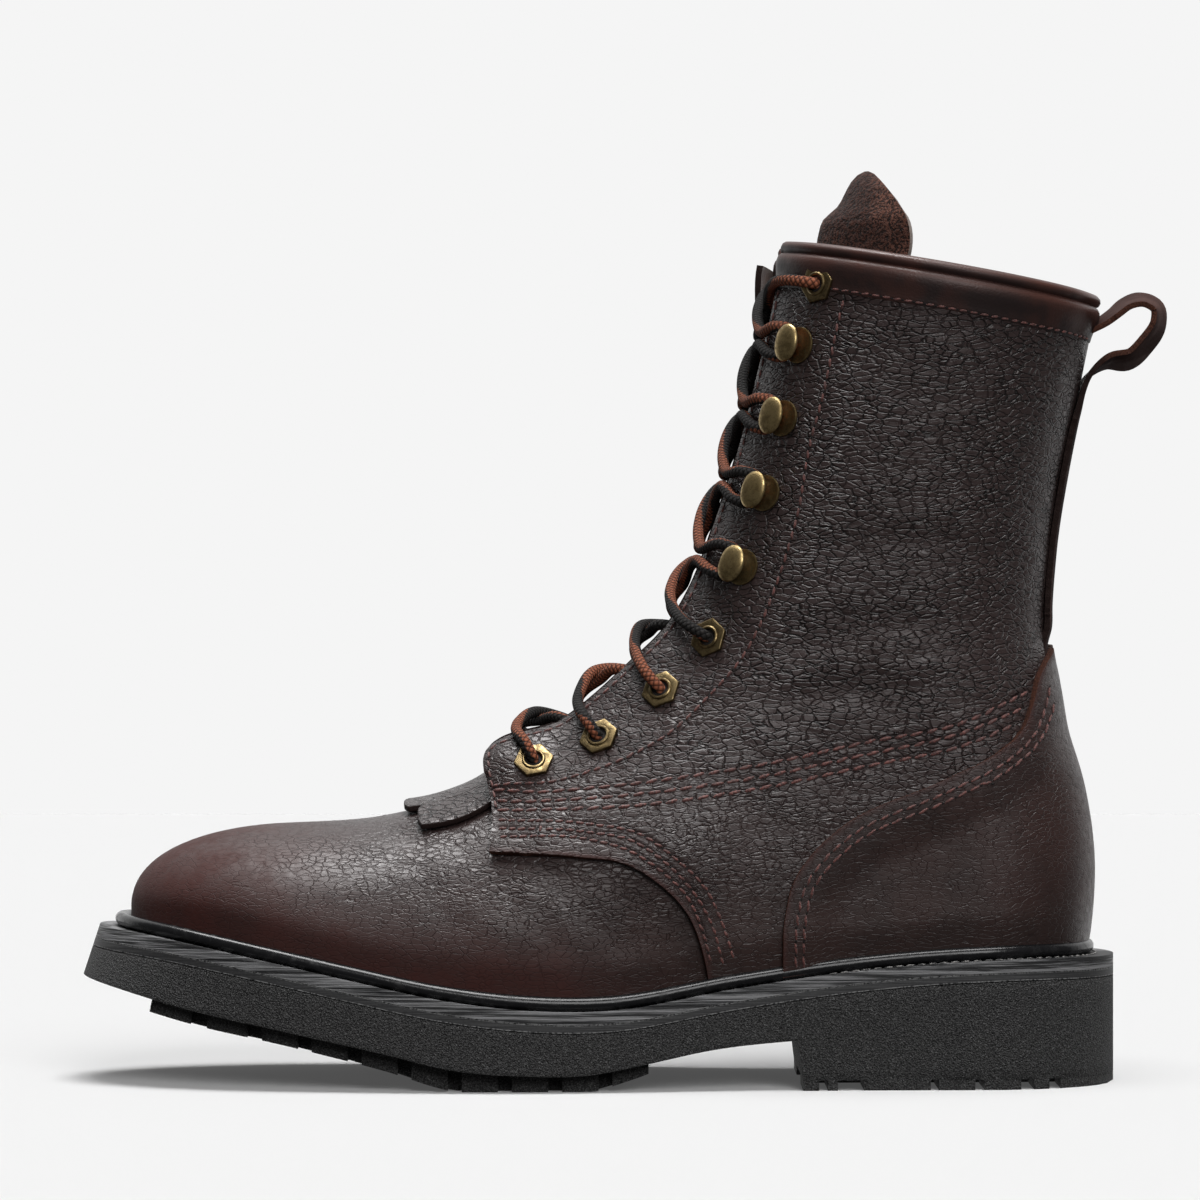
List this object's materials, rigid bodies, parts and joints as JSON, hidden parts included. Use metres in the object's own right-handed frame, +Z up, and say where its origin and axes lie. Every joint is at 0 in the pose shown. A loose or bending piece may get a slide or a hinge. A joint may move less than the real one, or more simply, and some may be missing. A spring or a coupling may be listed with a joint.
{
  "type": "work boot",
  "caption": "Lace-up leather work boot with open-front facings, fringed false tongue, speed hooks, pull loop and a lugged rubber sole with a block heel.",
  "frame": {"origin": "on the floor under the middle of the boot's box", "axes": "+X from toe to heel, +Y from the outer to the inner side, +Z up"},
  "size_m": [0.3264, 0.109, 0.2738],
  "materials": {
    "rubber": "matte black cellular rubber",
    "glossy_welt": "smooth glossy black bead",
    "insole_board": "plain tan insole",
    "pebbled_leather": "dark brown pebbled leather",
    "smooth_leather": "smooth dark red-brown leather",
    "suede": "brown suede",
    "antique_brass": "aged brass",
    "lace": "braided rust and black lace"
  },
  "bodies": {
    "root": {"outsole": "rubber", "midsole": "rubber", "welt": "glossy_welt", "insole": "insole_board", "upper": "pebbled_leather", "quarter_lateral": "pebbled_leather", "quarter_medial": "pebbled_leather", "counter": "pebbled_leather", "collar": "smooth_leather", "backstay": "smooth_leather", "tongue": "suede", "kiltie": "pebbled_leather", "eyelet_lateral_1": "antique_brass", "eyelet_lateral_2": "antique_brass", "eyelet_lateral_3": "antique_brass", "eyelet_lateral_4": "antique_brass", "eyelet_lateral_9": "antique_brass", "eyelet_medial_1": "antique_brass", "eyelet_medial_2": "antique_brass", "eyelet_medial_3": "antique_brass", "eyelet_medial_4": "antique_brass", "eyelet_medial_9": "antique_brass", "hook_lateral_5": "antique_brass", "hook_lateral_6": "antique_brass", "hook_lateral_7": "antique_brass", "hook_lateral_8": "antique_brass", "hook_medial_5": "antique_brass", "hook_medial_6": "antique_brass", "hook_medial_7": "antique_brass", "hook_medial_8": "antique_brass", "lace_bar": "lace", "lace_cross_1": "lace", "lace_cross_2": "lace", "lace_cross_3": "lace", "lace_cross_4": "lace", "lace_cross_5": "lace", "lace_cross_6": "lace", "lace_cross_7": "lace", "lace_cross_8": "lace"}
  },
  "joints": []
}
